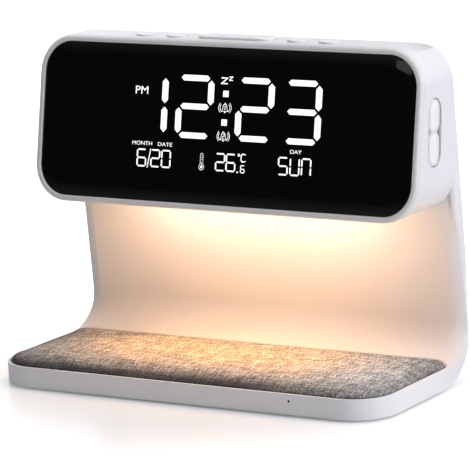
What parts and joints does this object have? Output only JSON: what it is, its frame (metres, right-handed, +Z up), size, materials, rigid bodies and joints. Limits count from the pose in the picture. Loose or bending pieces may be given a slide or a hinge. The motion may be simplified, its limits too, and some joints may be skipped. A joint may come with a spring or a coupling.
{
  "type": "sunrise alarm clock",
  "caption": "Bedside sunrise alarm clock: C-shaped white housing, tilted black display head with a lamp underneath, and a fabric charging pad on the base.",
  "frame": {"origin": "middle of the footprint on the table, under the feet", "axes": "+X to the user's right, +Y to the back, +Z up"},
  "size_m": [0.2, 0.0903, 0.155],
  "materials": {
    "shell": "smooth satin white",
    "frame": "smooth satin white, rounded edge",
    "lens": "polished black",
    "display": "dark display glass",
    "guide": "clear light guide with a printed back",
    "tray": "moulded, unpainted",
    "board": "circuit board lacquer",
    "switch": "moulded switches",
    "button": "smooth white caps",
    "pin": "ground pin",
    "lamp_cover": "milky, lets the lamp's light through",
    "reflector": "white diffuse",
    "lamp_board": "metal-core board, white lacquer",
    "chip": "phosphor-coated",
    "wire": "insulated strand",
    "ribbon": "flat cable",
    "speaker": "paper cone in a pressed frame",
    "steel": "zinc plated",
    "socket": "nickel plated shell",
    "cell": "stainless can",
    "contact": "spring brass",
    "foot": "moulded rubber",
    "ferrite": "pressed ferrite under film",
    "coil": "lacquered copper strand",
    "pipe": "clear rod",
    "pad_plate": "moulded, unpainted",
    "fabric": "woven grey melange"
  },
  "bodies": {
    "clock": {"housing": "shell", "front_frame": "frame", "display_lens": "lens", "display_chassis": "tray", "lcd_panel": "display", "light_guide": "guide", "main_board": "board", "temperature_sensor": "switch", "button_board": "board", "button_switches": "switch", "button_cable": "ribbon", "rocker_pin": "pin", "rocker_bracket": "tray", "rocker_board": "board", "rocker_cable": "wire", "lamp_cover": "lamp_cover", "lamp_reflector": "reflector", "lamp_board": "lamp_board", "lamp_chips": "chip", "lamp_wires": "wire", "rear_cover": "shell", "speaker": "speaker", "speaker_clamp": "tray", "speaker_wires": "wire", "inlet_socket": "socket", "inlet_board": "board", "inlet_wires": "wire", "coin_cell": "cell", "cell_holder": "tray", "cell_contacts": "contact", "base_cover": "shell", "rubber_feet": "foot", "ballast_plate": "steel", "charger_board": "board", "stem_ribbon": "ribbon", "coil_carrier": "tray", "ferrite_sheet": "ferrite", "charging_coil": "coil", "coil_wires": "coil", "light_pipe": "pipe", "pad_plate": "pad_plate", "fabric_pad": "fabric", "rear_screws": "steel", "base_screws": "steel", "frame_screws": "steel", "board_screws": "steel", "speaker_screws": "steel"},
    "alarm_key": {"alarm_button": "button"},
    "time_key": {"time_button": "button"},
    "light_key": {"light_button": "button"},
    "volume_key": {"volume_button": "button"},
    "snooze_key": {"snooze_bar": "button"},
    "rocker": {"side_rocker": "button"},
    "door": {"cell_door": "shell"}
  },
  "joints": [
    {"name": "alarm_press", "type": "slide", "parent": "clock", "child": "alarm_key", "axis": [0, 0, -1], "range_m": [0, 0.0008], "stiffness_N_per_m": 450, "springref_m": -0.0006},
    {"name": "time_press", "type": "slide", "parent": "clock", "child": "time_key", "axis": [0, 0, -1], "range_m": [0, 0.0008], "stiffness_N_per_m": 450, "springref_m": -0.0006},
    {"name": "light_press", "type": "slide", "parent": "clock", "child": "light_key", "axis": [0, 0, -1], "range_m": [0, 0.0008], "stiffness_N_per_m": 450, "springref_m": -0.0006},
    {"name": "volume_press", "type": "slide", "parent": "clock", "child": "volume_key", "axis": [0, 0, -1], "range_m": [0, 0.0008], "stiffness_N_per_m": 450, "springref_m": -0.0006},
    {"name": "snooze_press", "type": "slide", "parent": "clock", "child": "snooze_key", "axis": [0, 0, -1], "range_m": [0, 0.0008], "stiffness_N_per_m": 600, "springref_m": -0.0006},
    {"name": "rocker_tilt", "type": "hinge", "parent": "clock", "child": "rocker", "pos_m": [0.0956, 0.01721, 0.11725], "axis": [0, 0.9945, -0.1045], "range_deg": [-3, 3], "stiffness_Nm_per_rad": 0.3},
    {"name": "door_twist", "type": "hinge", "parent": "clock", "child": "door", "pos_m": [-0.052, 0.03766, 0.11783], "axis": [0, 0.9965, 0.0837], "range_deg": [0, 45]}
  ]
}
